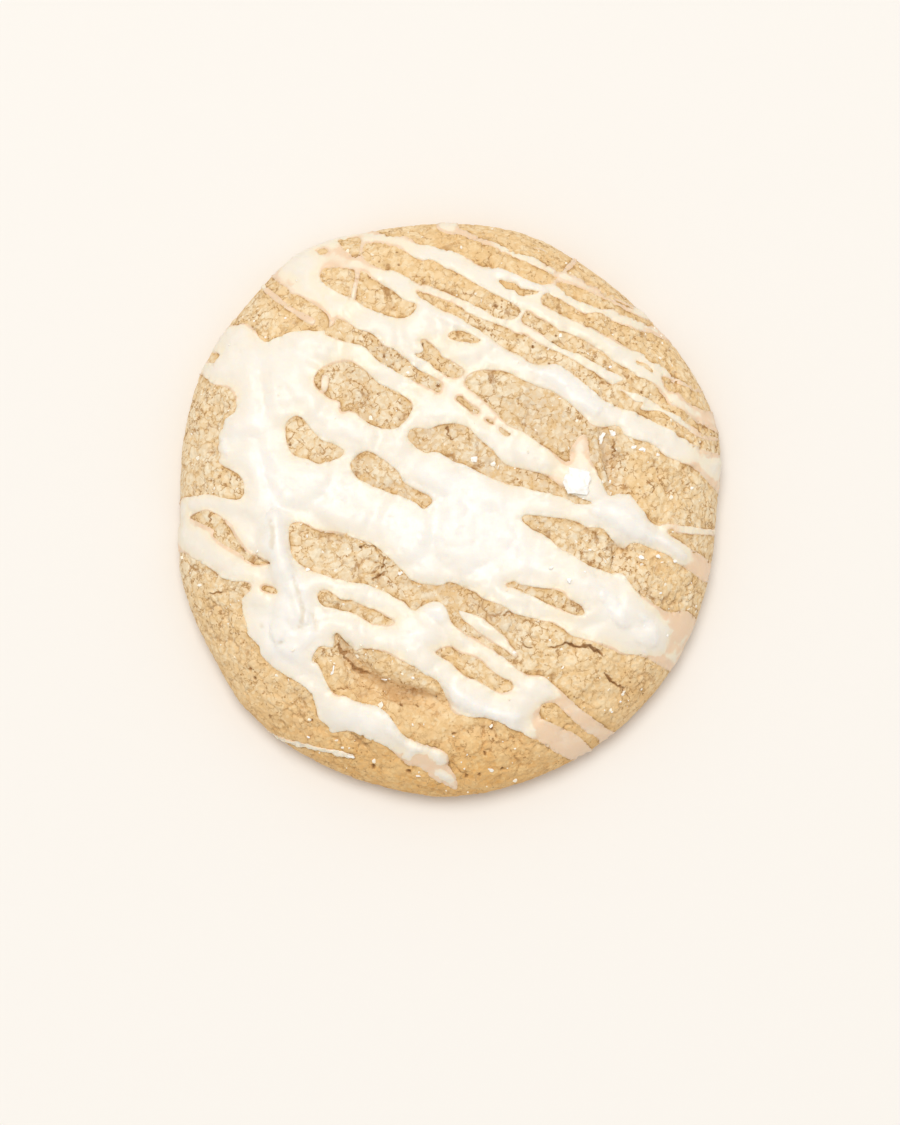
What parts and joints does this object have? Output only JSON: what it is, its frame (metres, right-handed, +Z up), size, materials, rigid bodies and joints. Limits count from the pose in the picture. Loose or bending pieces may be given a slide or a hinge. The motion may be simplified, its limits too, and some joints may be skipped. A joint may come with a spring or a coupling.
{
  "type": "iced sugar cookie",
  "caption": "Thick round soft-baked sugar cookie with a domed crackled top, a flat base and white icing drizzled in slanting strands and pools over it.",
  "frame": {"origin": "centre of the cookie's bounding box, on its flat base", "axes": "+Z up out of the iced top, +Y towards the picture's top edge, which is the cookie's slightly longer way across, +X to the picture's right"},
  "size_m": [0.0891, 0.0948, 0.0163],
  "materials": {
    "baked_crust": "matt, sandy golden crust",
    "white_icing": "satin, slightly translucent sugar glaze",
    "sugar_crystal": "clear white sugar crystals"
  },
  "bodies": {
    "root": {"cookie": "baked_crust"}
  },
  "joints": []
}
